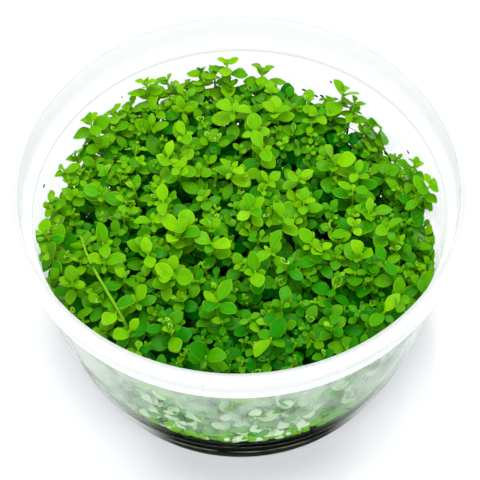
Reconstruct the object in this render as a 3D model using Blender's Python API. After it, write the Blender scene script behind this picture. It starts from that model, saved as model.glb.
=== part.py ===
"""Monte carlo carpet plant, grown in a clear tissue-culture cup: the tub, its dark gel and its plantlets."""
import bmesh
import bpy
from math import atan2, cos, pi, radians, sin, sqrt
from mathutils import Matrix, Vector
from random import Random

MM = 0.001

# Tub, by its radii and heights above the surface it stands on
FLANGE_RADIUS = 50.0 * MM
CUP_HEIGHT = 56.0 * MM
FLANGE_THICKNESS = 1.4 * MM
FLAT_TOP_WIDTH = 1.3 * MM
LIP_RADIUS = 46.3 * MM
LIP_HEIGHT = 53.8 * MM
SKIRT_RADIUS = 47.8 * MM
SKIRT_HEIGHT = 46.6 * MM
SKIRT_DRAFT = 0.4 * MM
BEAD_HEIGHT = 1.5 * MM
BEAD_DEPTH = 0.3 * MM
LEDGE_RADIUS = 45.0 * MM
LEDGE_HEIGHT = 45.5 * MM
BASE_RADIUS = 36.0 * MM
CORNER = 1.0 * MM
WALL_SWELL = 2.2 * MM
WALL = 0.9 * MM
BASE_THICKNESS = 1.0 * MM
WALL_STEPS = 5
SEGMENTS = 48
EDGE_ROUND = 0.3 * MM
MERGE_DISTANCE = 0.01 * MM
CREASE = radians(35)
PLASTIC_COLOUR = (0.90, 0.93, 0.92)
PLASTIC_ROUGHNESS = 0.35
PLASTIC_OPACITY = 0.35

# Gel, a cast disc that fills the bottom of the tub
GAP = 0.3 * MM
GEL_EDGE_HEIGHT = 13.1 * MM
GEL_HEIGHT = 12.7 * MM
MENISCUS_WIDTH = 1.4 * MM
GEL_STEPS = 3
GEL_COLOUR = (0.020, 0.024, 0.015)
GEL_ROUGHNESS = 0.25

# Plantlets, each a stem with crossed pairs of leaves
PLANT_COUNT = 37
CANOPY_HEIGHT = 36.0 * MM
CANOPY_RISE = 2.0 * MM
CANOPY_UNEVEN = 1.2 * MM
TALL_SIDE = radians(112)
TALL_SIDE_LIFT = 5.0 * MM
PLANT_CLEARANCE = 0.6 * MM
OUTER_PLANT_INSET = 4.4 * MM
HALF_GAP = 0.25 * MM
STEM_WIDTH = 1.5 * MM
STEM_WANDER = 0.5 * MM
NODE_HEIGHT = 1.0 * MM
LOWER_NODES = (0.50, 0.74)
STEM_TWIST = radians(45)
HEADING_SPREAD = radians(14)
FACING_ANGLE = radians(45)
GOLDEN_ANGLE = pi * (3 - sqrt(5))
SPOT_SHUFFLE = 0.6 * MM

# Each pair of leaves from the lowest up: length, width, rise of the middle and rise of the tip
LEAF_PAIRS = (
    (8.0 * MM, 7.4 * MM, 1.2 * MM, 1.4 * MM),
    (8.0 * MM, 7.4 * MM, 1.4 * MM, 1.8 * MM),
    (7.8 * MM, 7.2 * MM, 0.8 * MM, 1.0 * MM),
    (7.2 * MM, 6.6 * MM, 1.4 * MM, 2.4 * MM),
)
LEAF_THICKNESS = 0.7 * MM
LEAF_REACH_SHARE = 0.96
LEAST_HALF_WIDTH = 0.4 * MM
LEAST_LEAF_SCALE = 0.92
LEAF_WIDEST = 0.58
LEAF_TIP_SHARE = 0.45
LEAF_TIP_THICKNESS = 0.4 * MM
LEAF_CREASE = radians(50)
LEAF_GREEN = (0.17, 0.46, 0.01)
LEAF_ROUGHNESS = 0.45
GREEN_VARIETY = 0.04
NATURE_SEED = 7


def clear_objects():
    """Empties the file of the objects it opens with."""
    for thing in list(bpy.data.objects):
        bpy.data.objects.remove(thing, do_unlink=True)


def plain_material(name, colour, roughness, alpha=1.0):
    """One plain finish with its colour, roughness and opacity."""
    material = bpy.data.materials.new(name)
    material.use_nodes = True
    shader = material.node_tree.nodes["Principled BSDF"]
    shader.inputs["Base Color"].default_value = (*colour, 1.0)
    shader.inputs["Roughness"].default_value = roughness
    shader.inputs["Metallic"].default_value = 0.0
    shader.inputs["Alpha"].default_value = alpha
    material.diffuse_color = (*colour, alpha)
    return material


def add_object(name, bm, material, sharp_angle):
    """Turns a finished bmesh into a named object with its material."""
    mesh = bpy.data.meshes.new(name)
    bm.to_mesh(mesh)
    bm.free()
    mesh.materials.append(material)
    mesh.shade_smooth()
    mesh.set_sharp_from_angle(angle=sharp_angle)
    thing = bpy.data.objects.new(name, mesh)
    bpy.context.scene.collection.objects.link(thing)
    return thing


def turned(profile):
    """Spins a profile of radius and height points, which starts and ends on the axis, into a closed body."""
    bm = bmesh.new()
    points = [bm.verts.new((radius, 0.0, height)) for radius, height in profile]
    edges = [bm.edges.new(pair) for pair in zip(points, points[1:])]
    bmesh.ops.spin(
        bm, geom=points + edges, cent=(0, 0, 0), axis=(0, 0, 1), angle=2 * pi, steps=SEGMENTS, use_merge=True
    )
    bmesh.ops.remove_doubles(bm, verts=bm.verts[:], dist=MERGE_DISTANCE)
    bmesh.ops.recalc_face_normals(bm, faces=bm.faces[:])
    return bm


def wall_radius(height):
    """Outer radius of the tub's wall: it widens upwards and swells slightly between base and ledge."""
    share = (height - CORNER) / (LEDGE_HEIGHT - CORNER)
    return BASE_RADIUS + (LEDGE_RADIUS - BASE_RADIUS) * share + WALL_SWELL * 4 * share * (1 - share)


def wall_line(low, high, steps, inset):
    """Points along the wall between two heights, moved inwards by the inset."""
    heights = [low + (high - low) * step / steps for step in range(steps + 1)]
    return [(wall_radius(height) - inset, height) for height in heights]


def build_cup():
    """The tub: a flat base, a wall, a stepped collar with a skirt, and a flange round the mouth."""
    outside = [(0.0, 0.0), (BASE_RADIUS - CORNER, 0.0)]
    outside += wall_line(CORNER, LEDGE_HEIGHT, WALL_STEPS, 0.0)
    skirt = [
        (SKIRT_RADIUS - BEAD_DEPTH, SKIRT_HEIGHT - BEAD_DEPTH),
        (SKIRT_RADIUS, SKIRT_HEIGHT),
        (SKIRT_RADIUS, SKIRT_HEIGHT + BEAD_HEIGHT),
        (SKIRT_RADIUS - BEAD_DEPTH, SKIRT_HEIGHT + BEAD_HEIGHT + BEAD_DEPTH),
        (SKIRT_RADIUS + SKIRT_DRAFT, CUP_HEIGHT - FLANGE_THICKNESS),
    ]
    flange = [
        (FLANGE_RADIUS - EDGE_ROUND, CUP_HEIGHT - FLANGE_THICKNESS),
        (FLANGE_RADIUS, CUP_HEIGHT - FLANGE_THICKNESS + EDGE_ROUND),
        (FLANGE_RADIUS, CUP_HEIGHT - EDGE_ROUND),
        (FLANGE_RADIUS - EDGE_ROUND, CUP_HEIGHT),
        (FLANGE_RADIUS - EDGE_ROUND - FLAT_TOP_WIDTH, CUP_HEIGHT),
        (LIP_RADIUS, LIP_HEIGHT),
    ]
    ledge = [(LEDGE_RADIUS + WALL, LEDGE_HEIGHT + WALL)]
    inside = wall_line(BASE_THICKNESS + CORNER, LEDGE_HEIGHT, WALL_STEPS, WALL)[::-1]
    floor = [(inside[-1][0] - CORNER, BASE_THICKNESS), (0.0, BASE_THICKNESS)]
    bm = turned(outside + skirt + flange + ledge + inside + floor)
    plastic = plain_material("clear_plastic", PLASTIC_COLOUR, PLASTIC_ROUGHNESS, PLASTIC_OPACITY)
    return add_object("cup", bm, plastic, CREASE)


def build_gel():
    """The gel: it follows the inside of the tub and climbs a little where it meets the wall."""
    low = BASE_THICKNESS + GAP
    side = wall_line(low + CORNER, GEL_EDGE_HEIGHT, GEL_STEPS, WALL + GAP)
    bottom = [(0.0, low), (side[0][0] - CORNER, low)]
    top = [(side[-1][0] - MENISCUS_WIDTH, GEL_HEIGHT), (0.0, GEL_HEIGHT)]
    bm = turned(bottom + side + top)
    return add_object("gel", bm, plain_material("dark_gel", GEL_COLOUR, GEL_ROUGHNESS), CREASE)


def room_radius(height):
    """How far out a plant may reach at a height before it meets the tub's wall."""
    return wall_radius(height) - WALL - PLANT_CLEARANCE


def plant_spots(dice):
    """Places of the plantlets at canopy level, in a spiral from the middle like a sunflower's seeds."""
    outermost = room_radius(CANOPY_HEIGHT) - OUTER_PLANT_INSET
    spots = []
    for index in range(PLANT_COUNT):
        reach = outermost * sqrt(index / (PLANT_COUNT - 1))
        turn = index * GOLDEN_ANGLE
        shuffle = Vector((dice.uniform(-1, 1), dice.uniform(-1, 1))) * SPOT_SHUFFLE
        spots.append(Vector((reach * cos(turn), reach * sin(turn))) + shuffle * (1 - index / PLANT_COUNT))
    return spots


def room_along(start, direction, home, spots):
    """How far a plant can reach from a plan point before it comes nearer to a neighbour or meets the wall."""
    limit = room_radius(CANOPY_HEIGHT)
    ahead = start.dot(direction)
    room = sqrt(max(ahead * ahead + limit * limit - start.length_squared, 0.0)) - ahead
    for other in spots:
        away = other - home
        if away.length == 0:
            continue
        away_direction = away.normalized()
        closing = direction.dot(away_direction)
        if closing > 0:
            left = away.length / 2 - HALF_GAP - (start - home).dot(away_direction)
            room = min(room, left / closing)
    return room


def grow_leaf(bm, face, size, home, spots):
    """Draws one side of a stem node out into a leaf, widest past its middle and blunt at its tip."""
    length, width, middle_rise, tip_rise = size
    root = face.calc_center_median()
    out = face.normal.to_2d().normalized()
    across = Vector((-out.y, out.x))
    length = min(length, room_along(root.to_2d(), out, home, spots) * LEAF_REACH_SHARE)
    steps = (
        (LEAF_WIDEST, width, LEAF_THICKNESS, middle_rise),
        (1.0, width * LEAF_TIP_SHARE, LEAF_TIP_THICKNESS, tip_rise),
    )
    for share, breadth, thickness, rise in steps:
        old = face.calc_center_median()
        face = bmesh.ops.extrude_discrete_faces(bm, faces=[face])["faces"][0]
        middle = root.to_2d() + out * length * share
        for vert in face.verts:
            side = across if (vert.co - old).to_2d().dot(across) > 0 else -across
            half = max(min(breadth / 2, room_along(middle, side, home, spots)), LEAST_HALF_WIDTH)
            level = thickness / 2 if vert.co.z > old.z else -thickness / 2
            vert.co = (middle + side * half).to_3d()
            vert.co.z = root.z + rise + level


def lift_stem(bm, top, height, drift=Vector((0.0, 0.0, 0.0)), twist=0.0):
    """Draws the stem up to a new height, moved and turned as asked, and returns its new top face."""
    top = bmesh.ops.extrude_discrete_faces(bm, faces=[top])["faces"][0]
    turn = Matrix.Rotation(twist, 3, "Z")
    bmesh.ops.rotate(bm, verts=top.verts, cent=top.calc_center_median(), matrix=turn)
    for vert in top.verts:
        vert.co += drift
        vert.co.z = height
    return top


def node_sides(top, heading):
    """The two sides of the stem's last stretch that face along the heading and against it."""
    sides = []
    for edge in top.edges:
        for face in edge.link_faces:
            if face is not top:
                face.normal_update()
                if abs(face.normal.dot(heading)) > cos(FACING_ANGLE):
                    sides.append(face)
    return sides


def build_plant(index, spots, dice):
    """One plantlet: a square stem that carries crossed pairs of leaves, closest together at its tip."""
    home = spots[index]
    low = GEL_HEIGHT + GAP
    canopy_room = room_radius(CANOPY_HEIGHT)
    dome = CANOPY_RISE * (1 - (home.length / canopy_room) ** 2)
    tall_share = max(home.dot(Vector((cos(TALL_SIDE), sin(TALL_SIDE)))) / canopy_room, 0.0)
    high = CANOPY_HEIGHT + dome + TALL_SIDE_LIFT * tall_share + dice.uniform(-1, 1) * CANOPY_UNEVEN
    outward = atan2(home.y, home.x) + dice.uniform(-1, 1) * HEADING_SPREAD
    heading = Vector((cos(outward), sin(outward), 0.0))

    stem = bmesh.new()
    bmesh.ops.create_cube(stem, size=STEM_WIDTH)
    square_on = Matrix.Rotation(outward - STEM_TWIST, 3, "Z")
    bmesh.ops.rotate(stem, verts=stem.verts, cent=(0, 0, 0), matrix=square_on)
    bmesh.ops.translate(stem, verts=stem.verts, vec=(home.x, home.y, 0.0))
    top = max(stem.faces, key=lambda face: face.calc_center_median().z)
    starts = [low + (high - low) * share for share in LOWER_NODES]
    starts += [high - 2 * NODE_HEIGHT, high - NODE_HEIGHT]
    for vert in stem.verts:
        vert.co.z = starts[0] if vert in top.verts[:] else low

    for level, (start, size) in enumerate(zip(starts, LEAF_PAIRS)):
        twist = STEM_TWIST if level == 2 else 0.0
        if level in (1, 2):
            drift = Vector((dice.uniform(-1, 1), dice.uniform(-1, 1), 0.0)) * STEM_WANDER
            top = lift_stem(stem, top, start, drift, twist)
        top = lift_stem(stem, top, start + NODE_HEIGHT)
        turn = level * pi / 2 - (STEM_TWIST if level < 2 else 0.0)
        facing = Matrix.Rotation(turn, 3, "Z") @ heading
        for side in node_sides(top, facing):
            scale = dice.uniform(LEAST_LEAF_SCALE, 1.0)
            grow_leaf(stem, side, (size[0] * scale, size[1] * scale, size[2], size[3]), home, spots)

    for vert in stem.verts:
        vert.co.xy *= min(room_radius(vert.co.z), canopy_room) / canopy_room
    bmesh.ops.recalc_face_normals(stem, faces=stem.faces[:])

    name = f"plantlet_{index + 1:02d}"
    shade = 1 + dice.uniform(-1, 1) * GREEN_VARIETY
    green = [channel * shade for channel in LEAF_GREEN]
    return add_object(name, stem, plain_material(name + "_leaf", green, LEAF_ROUGHNESS), LEAF_CREASE)


def build():
    """Makes the whole potted plant."""
    clear_objects()
    dice = Random(NATURE_SEED)
    build_cup()
    build_gel()
    spots = plant_spots(dice)
    for index in range(PLANT_COUNT):
        build_plant(index, spots, dice)


build()
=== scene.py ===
from math import cos, pi, radians, sin, sqrt

import bpy
import numpy as np
from mathutils import Matrix, Vector


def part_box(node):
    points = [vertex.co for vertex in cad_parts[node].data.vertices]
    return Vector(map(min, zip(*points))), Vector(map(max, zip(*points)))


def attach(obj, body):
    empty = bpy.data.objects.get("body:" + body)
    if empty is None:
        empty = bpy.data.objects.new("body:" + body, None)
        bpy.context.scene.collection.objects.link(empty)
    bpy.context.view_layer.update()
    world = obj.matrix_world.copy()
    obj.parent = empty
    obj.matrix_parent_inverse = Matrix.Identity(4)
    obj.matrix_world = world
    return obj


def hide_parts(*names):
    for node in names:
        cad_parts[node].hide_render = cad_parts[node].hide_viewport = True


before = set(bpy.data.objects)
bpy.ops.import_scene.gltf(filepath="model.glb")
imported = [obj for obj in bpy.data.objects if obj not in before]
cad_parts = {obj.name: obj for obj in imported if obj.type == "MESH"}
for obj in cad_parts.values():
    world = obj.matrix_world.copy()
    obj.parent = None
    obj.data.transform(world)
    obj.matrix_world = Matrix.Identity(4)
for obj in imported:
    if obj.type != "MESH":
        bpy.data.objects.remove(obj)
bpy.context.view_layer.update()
bpy.ops.object.select_all(action="DESELECT")


# Table, light and camera
# The tub stands on a plain pale table, a smooth painted board. Soft studio light comes from above
# and from behind, and a weaker one fills in from the front. The camera looks down into the tub.
MM = 0.001
TABLE_SIZE = 3.0
TABLE_DROP = 0.05 * MM
TABLE_WHITE = (0.90, 0.905, 0.915)
TABLE_SHADE = (0.87, 0.878, 0.895)
TABLE_CLOUDS = 9.0
TABLE_ROUGHNESS = (40.0, 0.5, 0.62)
TABLE_GRAIN = (900.0, 0.05 * MM, 0.1)
SKY_WHITE = (0.97, 0.985, 1.0)
SKY_STRENGTH = 1.05
SOFTBOX_PLACE = Vector((0.0, 0.10, 0.85))
SOFTBOX_SIZE = 0.50
SOFTBOX_POWER = 3.9
FILL_PLACE = Vector((-0.10, -0.65, 0.55))
FILL_SIZE = 0.6
FILL_POWER = 2.6
LAMP_PLACE = Vector((0.12, 0.16, 0.80))
LAMP_SIZE = 0.035
LAMP_POWER = 0.7
CAMERA_PLACE = Vector((0.0, -249.4 * MM, 390.2 * MM))
CAMERA_DOWN = radians(55.06)
CAMERA_ROLL = radians(-1.13)
CAMERA_LENS = 150.0
CAMERA_SENSOR = 36.0
CAMERA_NEAR = 0.01


def new_finish(name):
    """A new material with its node tree and its shader."""
    finish = bpy.data.materials.new(name)
    finish.use_nodes = True
    return finish, finish.node_tree, finish.node_tree.nodes["Principled BSDF"]


def add_node(tree, kind, inputs, **settings):
    """One node of a finish. Each input is a value or another node's socket."""
    node = tree.nodes.new(kind)
    for setting, value in settings.items():
        setattr(node, setting, value)
    for socket, source in inputs.items():
        if isinstance(source, bpy.types.NodeSocket):
            tree.links.new(source, node.inputs[socket])
        else:
            node.inputs[socket].default_value = source
    return node


def noise(tree, place, fineness):
    """Soft cloudy variation between 0 and 1."""
    sockets = {"Vector": place, "Scale": fineness, "Detail": 3.0}
    return add_node(tree, "ShaderNodeTexNoise", sockets).outputs["Fac"]


def spread(tree, value, low, high, to_low=0.0, to_high=1.0):
    """The value taken from one range to another with soft ends."""
    sockets = {"Value": value, "From Min": low, "From Max": high, "To Min": to_low, "To Max": to_high}
    return add_node(tree, "ShaderNodeMapRange", sockets, interpolation_type="SMOOTHSTEP").outputs["Result"]


def tint(tree, share, first, second):
    """A colour between two others."""
    sockets = {0: share}
    for socket, colour in ((6, first), (7, second)):
        sockets[socket] = colour if isinstance(colour, bpy.types.NodeSocket) else (*colour, 1.0)
    return add_node(tree, "ShaderNodeMix", sockets, data_type="RGBA").outputs[2]


def object_place(tree):
    """Where a point of the piece lies, in metres from the object's origin."""
    return tree.nodes.new("ShaderNodeTexCoord").outputs["Object"]


def roughen(tree, shader, place, fineness, smoothest, roughest, edges=(0.3, 0.7)):
    """Roughness that varies in soft patches."""
    patches = spread(tree, noise(tree, place, fineness), *edges, smoothest, roughest)
    tree.links.new(patches, shader.inputs["Roughness"])


def relief(tree, shader, place, fineness, depth, strength):
    """Fine surface relief, in the shader's normal."""
    sockets = {"Height": noise(tree, place, fineness), "Distance": depth, "Strength": strength}
    bump = add_node(tree, "ShaderNodeBump", sockets)
    tree.links.new(bump.outputs["Normal"], shader.inputs["Normal"])


bpy.ops.mesh.primitive_plane_add(size=TABLE_SIZE, location=(0, 0, -TABLE_DROP))
table = bpy.context.active_object
table.name = "table_top"
table_finish, tree, shader = new_finish("pale_table")
place = object_place(tree)
clouds = noise(tree, place, TABLE_CLOUDS)
tree.links.new(tint(tree, clouds, TABLE_WHITE, TABLE_SHADE), shader.inputs["Base Color"])
roughen(tree, shader, place, *TABLE_ROUGHNESS)
relief(tree, shader, place, *TABLE_GRAIN)
table.data.materials.append(table_finish)

studio = bpy.data.worlds.new("studio")
studio.use_nodes = True
studio.node_tree.nodes["Background"].inputs["Color"].default_value = (*SKY_WHITE, 1.0)
studio.node_tree.nodes["Background"].inputs["Strength"].default_value = SKY_STRENGTH
bpy.context.scene.world = studio
bpy.context.scene.view_settings.view_transform = "Standard"

for name, spot, size, power in (
    ("softbox", SOFTBOX_PLACE, SOFTBOX_SIZE, SOFTBOX_POWER),
    ("fill", FILL_PLACE, FILL_SIZE, FILL_POWER),
    ("lamp", LAMP_PLACE, LAMP_SIZE, LAMP_POWER),
):
    aim = (-spot).to_track_quat("-Z", "Y").to_euler()
    bpy.ops.object.light_add(type="AREA", location=spot, rotation=aim)
    light = bpy.context.active_object
    light.name = name
    light.data.size = size
    light.data.energy = power

bpy.ops.object.camera_add()
camera = bpy.context.active_object
camera.name = "camera"
turn_down = Matrix.Rotation(pi / 2 - CAMERA_DOWN, 4, "X")
roll = Matrix.Rotation(CAMERA_ROLL, 4, "Z")
camera.matrix_world = Matrix.Translation(CAMERA_PLACE) @ turn_down @ roll
camera.data.lens = CAMERA_LENS
camera.data.sensor_width = CAMERA_SENSOR
camera.data.clip_start = CAMERA_NEAR
bpy.context.scene.camera = camera


# Tub
# A thin-walled tub moulded in one piece from clear polypropylene, which holds the gel and stands
# on its flat base. Its wall is hazy, and its thick collar, with a skirt, a bead and a flange for
# the lid, looks milky white.
FLANGE_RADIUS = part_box("cup")[1].x
TUB_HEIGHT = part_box("cup")[1].z
FLANGE_THICKNESS = 1.4 * MM
FLAT_TOP_WIDTH = 1.6 * MM
LIP_RADIUS = 46.3 * MM
LIP_HEIGHT = 53.8 * MM
SKIRT_RADIUS = 47.8 * MM
SKIRT_HEIGHT = 46.6 * MM
SKIRT_DRAFT = 0.4 * MM
BEAD_HEIGHT = 1.6 * MM
BEAD_DEPTH = 0.3 * MM
LEDGE_RADIUS = 45.0 * MM
LEDGE_HEIGHT = 45.5 * MM
BASE_RADIUS = 36.0 * MM
CORNER = 1.0 * MM
WALL_SWELL = 2.2 * MM
WALL = 0.9 * MM
BASE_THICKNESS = 1.0 * MM
WALL_STEPS = 16
TUB_SIDES = 160
EDGE_ROUND = 0.22 * MM
SHARP_EDGE = radians(25)
ROUND_STEPS = 3
GEL_EDGE_DROP = 0.5 * MM
GEL_EDGE_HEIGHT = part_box("gel")[1].z - GEL_EDGE_DROP

MILKY_WHITE = (0.53, 0.53, 0.535)
LIT_MILKY_INSIDE = (0.72, 0.71, 0.72)
COLLAR_HAZE = 0.80
COLLAR_GLOW = 1.0
COLLAR_GLOW_DEPTH = 20.0 * MM
COLLAR_START = (LEDGE_HEIGHT - 0.4 * MM, LEDGE_HEIGHT + 0.2 * MM)
INSIDE_START = (LIP_RADIUS + 0.2 * MM, LIP_RADIUS + 0.6 * MM)
EDGE_SHADE_GREY = (0.36, 0.37, 0.375)
LIP_LINE = 0.35 * MM
LEDGE_LINE = 1.0 * MM
LIP_LINE_SHARE = 0.6
LEDGE_LINE_SHARE = 0.48

HAZE_WHITE = (0.60, 0.61, 0.61)
HAZE_GREEN_BOUNCE_LIGHT = (0.45, 0.57, 0.45)
WALL_HAZE = 0.17
LOW_WALL_HAZE = 0.012
LOW_HAZE_HEIGHTS = (16.0 * MM, 27.0 * MM)
HIGH_WALL_HAZE = 0.19
HIGH_HAZE_HEIGHTS = (24.0 * MM, 42.0 * MM)
BACK_HAZE_SHARE = 0.18
FRONT_END = (-20.0 * MM, 0.0)
PLANT_TOP = (26.0 * MM, 33.0 * MM)
FRONT_GREEN_RISE = 11.0 * MM
HAZE_CLOUDS = 160.0
HAZE_CLOUD_EDGES = (0.38, 0.62)
HAZE_CLOUD_RANGE = (-0.7, 0.5)

SIDE_REFLECTION_WHITE = (0.72, 0.77, 0.73)
SIDE_REFLECTION_HAZE = 0.62
SIDE_START = (12.0 * MM, 36.0 * MM)
SIDE_END = (-14.0 * MM, 4.0 * MM)
SIDE_STREAKS = 0.45
STREAK_FINENESS = 90.0
STREAK_EDGES = (0.35, 0.6)

GEL_TOUCH_DARK = (0.005, 0.0065, 0.0045)
GEL_TOUCH_OLIVE = (0.15, 0.16, 0.115)
GEL_TOUCH_COVER = 0.92
GEL_TOUCH_END = (GEL_EDGE_HEIGHT - 0.3 * MM, GEL_EDGE_HEIGHT + 0.2 * MM)
SIDE_GEL_REFLECTION_GREY = (0.50, 0.55, 0.50)
SIDE_GEL_START = (15.5 * MM, 27.0 * MM)
SIDE_GEL_END = (-21.0 * MM, -8.0 * MM)
GEL_MIDDLE = 1.5 * MM
OLIVE_LINE_HEIGHT = 8.0 * MM
OLIVE_LINE_WIDTH = 1.4 * MM
OLIVE_EDGES = (0.35, 0.6)

FOOT_HEIGHT = 1.8 * MM
FOOT_BLUR = 0.6 * MM
FOOT_HAZE_AND_HIGHLIGHT = 0.5
SIDE_RISE = 4.0 * MM
PLASTIC_SHINE = 0.4
COLLAR_SHINE = 0.12
SHINE_START = (15.5 * MM, 18.0 * MM)
PLASTIC_ROUGHNESS = (300.0, 0.26, 0.4)
PLASTIC_GRAIN = (1500.0, 0.05 * MM, 0.25)


def wall_radius(height):
    """Outer radius of the tub's wall: it widens upwards and swells slightly between base and ledge."""
    share = (height - CORNER) / (LEDGE_HEIGHT - CORNER)
    return BASE_RADIUS + (LEDGE_RADIUS - BASE_RADIUS) * share + WALL_SWELL * 4 * share * (1 - share)


def wall_line(low, high, steps, inset):
    """Rings along the wall between two heights, moved inwards by the inset."""
    heights = [low + (high - low) * step / steps for step in range(steps + 1)]
    return [(wall_radius(height) - inset, height) for height in heights]


def turned_body(name, rings, sides):
    """Draws a circle through rings of radius and height and closes its two ends."""
    radius, height = rings[0]
    bpy.ops.mesh.primitive_circle_add(vertices=sides, radius=radius, location=(0, 0, height))
    body = bpy.context.active_object
    body.name = name
    body.data.name = name
    bpy.ops.object.transform_apply(location=True, rotation=True, scale=True)
    bpy.ops.object.mode_set(mode="EDIT")
    bpy.ops.mesh.select_mode(type="EDGE")
    bpy.ops.mesh.select_all(action="SELECT")
    for next_radius, next_height in rings[1:]:
        bpy.ops.mesh.extrude_region_move(TRANSFORM_OT_translate={"value": (0, 0, next_height - height)})
        scale = next_radius / radius
        bpy.ops.transform.resize(value=(scale, scale, 1), center_override=(0, 0, next_height))
        radius, height = next_radius, next_height
    bpy.ops.mesh.edge_face_add()
    bpy.ops.mesh.select_all(action="DESELECT")
    open_ends = {"use_wire": False, "use_multi_face": False, "use_non_contiguous": False}
    bpy.ops.mesh.select_non_manifold(extend=False, **open_ends)
    bpy.ops.mesh.edge_face_add()
    bpy.ops.mesh.select_all(action="SELECT")
    bpy.ops.mesh.normals_make_consistent(inside=False)
    bpy.ops.object.mode_set(mode="OBJECT")
    return body


def round_edges(body, width, least_angle):
    """Rounds a body's sharp edges and shades it smooth."""
    bpy.ops.object.modifier_add(type="BEVEL")
    bevel = body.modifiers[-1]
    bevel.width = width
    bevel.segments = ROUND_STEPS
    bevel.limit_method = "ANGLE"
    bevel.angle_limit = least_angle
    bpy.ops.object.modifier_apply(modifier=bevel.name)
    bpy.ops.object.shade_smooth_by_angle(angle=least_angle)


tub_rings = [(BASE_RADIUS - CORNER, 0.0)]
tub_rings += wall_line(CORNER, LEDGE_HEIGHT, WALL_STEPS, 0.0)
tub_rings += [
    (SKIRT_RADIUS, SKIRT_HEIGHT),
    (SKIRT_RADIUS, SKIRT_HEIGHT + BEAD_HEIGHT),
    (SKIRT_RADIUS - BEAD_DEPTH, SKIRT_HEIGHT + BEAD_HEIGHT + BEAD_DEPTH),
    (SKIRT_RADIUS + SKIRT_DRAFT, TUB_HEIGHT - FLANGE_THICKNESS),
    (FLANGE_RADIUS, TUB_HEIGHT - FLANGE_THICKNESS),
    (FLANGE_RADIUS, TUB_HEIGHT),
    (FLANGE_RADIUS - FLAT_TOP_WIDTH, TUB_HEIGHT),
    (LIP_RADIUS, LIP_HEIGHT),
    (LEDGE_RADIUS + WALL, LEDGE_HEIGHT + WALL),
]
tub_rings += wall_line(BASE_THICKNESS + CORNER, LEDGE_HEIGHT, WALL_STEPS, WALL)[::-1]
tub_rings += [(tub_rings[-1][0] - CORNER, BASE_THICKNESS)]
tub = turned_body("tub", tub_rings, TUB_SIDES)
round_edges(tub, EDGE_ROUND, SHARP_EDGE)


def reckon(tree, operation, first, second=0.0):
    """One value, or two put together by a sum, product or the like."""
    sockets = {0: first, 1: second}
    return add_node(tree, "ShaderNodeMath", sockets, operation=operation).outputs["Value"]


def between(tree, share, first, second):
    """A value between two others."""
    return add_node(tree, "ShaderNodeMix", {0: share, 2: first, 3: second}).outputs[0]


def apart(tree, vector):
    """The three values that a place or another vector is made of."""
    values = add_node(tree, "ShaderNodeSeparateXYZ", {0: vector}).outputs
    return values["X"], values["Y"], values["Z"]


def band(tree, value, middle, width):
    """A sharp line: 1 within the width, 0 elsewhere."""
    sockets = {0: value, 1: middle, 2: width / 2}
    return add_node(tree, "ShaderNodeMath", sockets, operation="COMPARE").outputs["Value"]


tub_finish, tree, shader = new_finish("hazy_polypropylene")
place = object_place(tree)
sideways, backwards, height = apart(tree, place)
clouds = noise(tree, place, HAZE_CLOUDS)

# The front half is dewy inside, and a painted reflection of the pale surroundings makes its two sides look
# milky.
front = spread(tree, backwards, *FRONT_END, 1.0, BACK_HAZE_SHARE)
ahead = spread(tree, backwards, *SIDE_END, 1.0, 0.0)
beside = spread(tree, reckon(tree, "ABSOLUTE", sideways), *SIDE_START)
beside = reckon(tree, "MULTIPLY", ahead, beside)
plant_level = reckon(tree, "SUBTRACT", height, reckon(tree, "MULTIPLY", front, FRONT_GREEN_RISE))
plant_level = spread(tree, plant_level, *PLANT_TOP, 1.0, 0.0)
patches = {0: spread(tree, clouds, *HAZE_CLOUD_EDGES, *HAZE_CLOUD_RANGE), 1: plant_level, 2: 1.0}
patches = add_node(tree, "ShaderNodeMath", patches, operation="MULTIPLY_ADD").outputs["Value"]
frost = spread(tree, height, *LOW_HAZE_HEIGHTS, LOW_WALL_HAZE, WALL_HAZE)
high_frost = spread(tree, height, *HIGH_HAZE_HEIGHTS, 0.0, HIGH_WALL_HAZE)
frost = reckon(tree, "ADD", frost, reckon(tree, "MULTIPLY", front, high_frost))
frost = reckon(tree, "MULTIPLY", frost, patches)
side = reckon(tree, "MULTIPLY", reckon(tree, "MULTIPLY", beside, plant_level), SIDE_REFLECTION_HAZE)
streaks = noise(tree, place, STREAK_FINENESS)
streaks = spread(tree, streaks, *STREAK_EDGES, 1.0 - SIDE_STREAKS, 1.0)
frost = reckon(tree, "MAXIMUM", frost, reckon(tree, "MULTIPLY", side, streaks))

# The collar is thick and milky, the gel shows dark where it touches the wall, and the foot is hazy, partly
# painted light as a highlight along the base's corner.
collar = spread(tree, height, *COLLAR_START)
haze = between(tree, collar, frost, COLLAR_HAZE)
above_gel = spread(tree, height, *GEL_TOUCH_END)
haze = between(tree, above_gel, GEL_TOUCH_COVER, haze)
foot = reckon(tree, "SUBTRACT", height, reckon(tree, "MULTIPLY", beside, SIDE_RISE))
foot = spread(tree, foot, FOOT_HEIGHT - FOOT_BLUR, FOOT_HEIGHT + FOOT_BLUR, 1.0, 0.0)
haze = between(tree, foot, haze, FOOT_HAZE_AND_HIGHLIGHT)
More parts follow.
